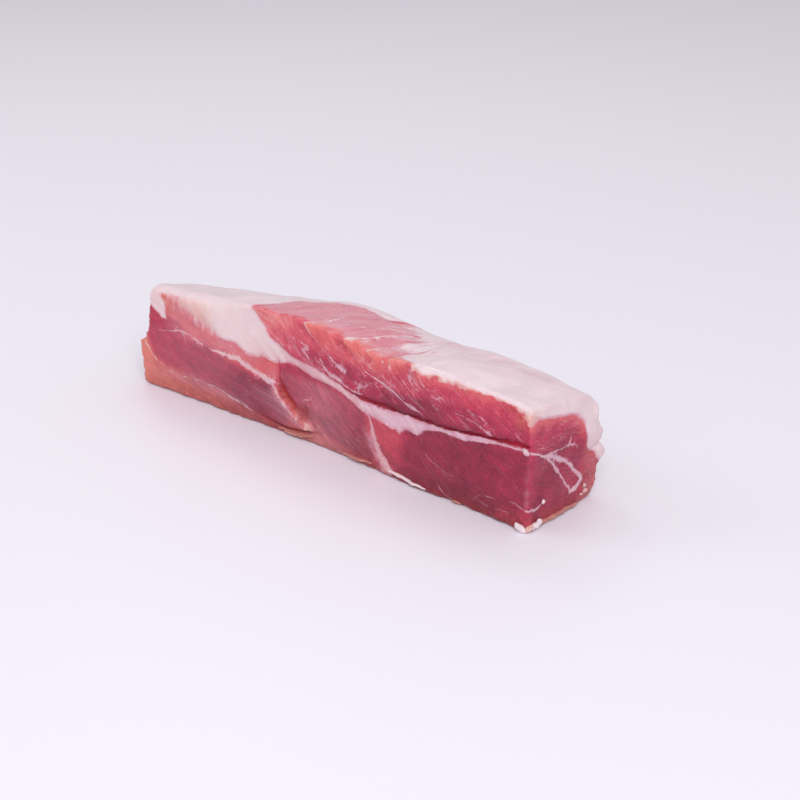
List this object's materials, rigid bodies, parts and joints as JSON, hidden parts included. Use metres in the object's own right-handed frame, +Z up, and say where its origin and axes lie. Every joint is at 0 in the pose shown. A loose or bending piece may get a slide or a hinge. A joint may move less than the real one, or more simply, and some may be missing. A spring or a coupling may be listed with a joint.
{
  "type": "salt pork",
  "caption": "Strip of salt pork: a square-cut length of cured pork belly, red lean seamed with white fat, a fat-covered top, a rough end and a flat underside to lie on.",
  "frame": {"origin": "under the middle of the strip, on the surface that it lies on", "axes": "+X along the strip to the cleanly cut end, -Y out of the cut face where the muscles show, +Z up"},
  "size_m": [0.2316, 0.0526, 0.0575],
  "materials": {
    "cured_pork": "moist cured meat: red lean with fine grain, seams and a cover of pinkish white fat"
  },
  "bodies": {
    "root": {"salt_pork": "cured_pork"}
  },
  "joints": []
}
